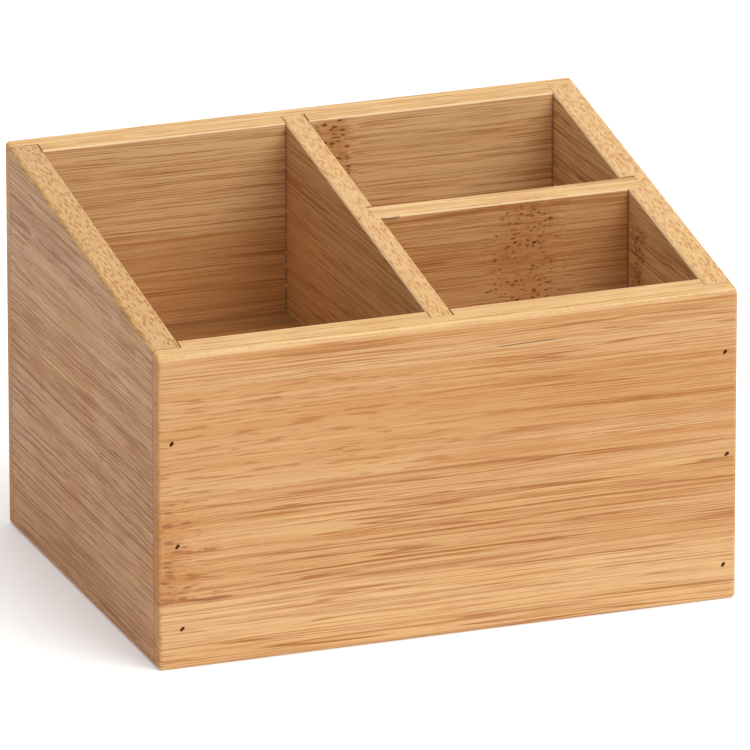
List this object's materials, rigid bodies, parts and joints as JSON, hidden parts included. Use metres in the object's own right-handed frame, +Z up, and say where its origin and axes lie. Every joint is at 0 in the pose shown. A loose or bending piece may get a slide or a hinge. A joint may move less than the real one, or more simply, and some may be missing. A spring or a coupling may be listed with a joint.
{
  "type": "desk organizer",
  "caption": "Open bamboo box with a rim that slopes down to the front, a centre divider and a cross divider, and a raised floor, for pens and desk supplies.",
  "frame": {"origin": "middle of the underside, on the surface that the box stands on", "axes": "+X to the right as seen from the low front panel, +Y to the tall back panel, +Z up"},
  "size_m": [0.16, 0.122, 0.1068],
  "materials": {
    "front_panel_bamboo": "satin clear lacquer over bamboo board",
    "back_panel_bamboo": "satin clear lacquer over bamboo board",
    "left_side_bamboo": "satin clear lacquer over bamboo board",
    "right_side_bamboo": "satin clear lacquer over bamboo board",
    "centre_divider_bamboo": "satin clear lacquer over bamboo board",
    "cross_divider_bamboo": "satin clear lacquer over bamboo board",
    "floor_panel_bamboo": "satin clear lacquer over bamboo board",
    "pin_steel": "dull wire"
  },
  "bodies": {
    "root": {"front_panel": "front_panel_bamboo", "back_panel": "back_panel_bamboo", "left_side": "left_side_bamboo", "right_side": "right_side_bamboo", "centre_divider": "centre_divider_bamboo", "cross_divider": "cross_divider_bamboo", "floor_panel": "floor_panel_bamboo", "front_left_pins": "pin_steel", "front_right_pins": "pin_steel", "back_left_pins": "pin_steel", "back_right_pins": "pin_steel"}
  },
  "joints": []
}
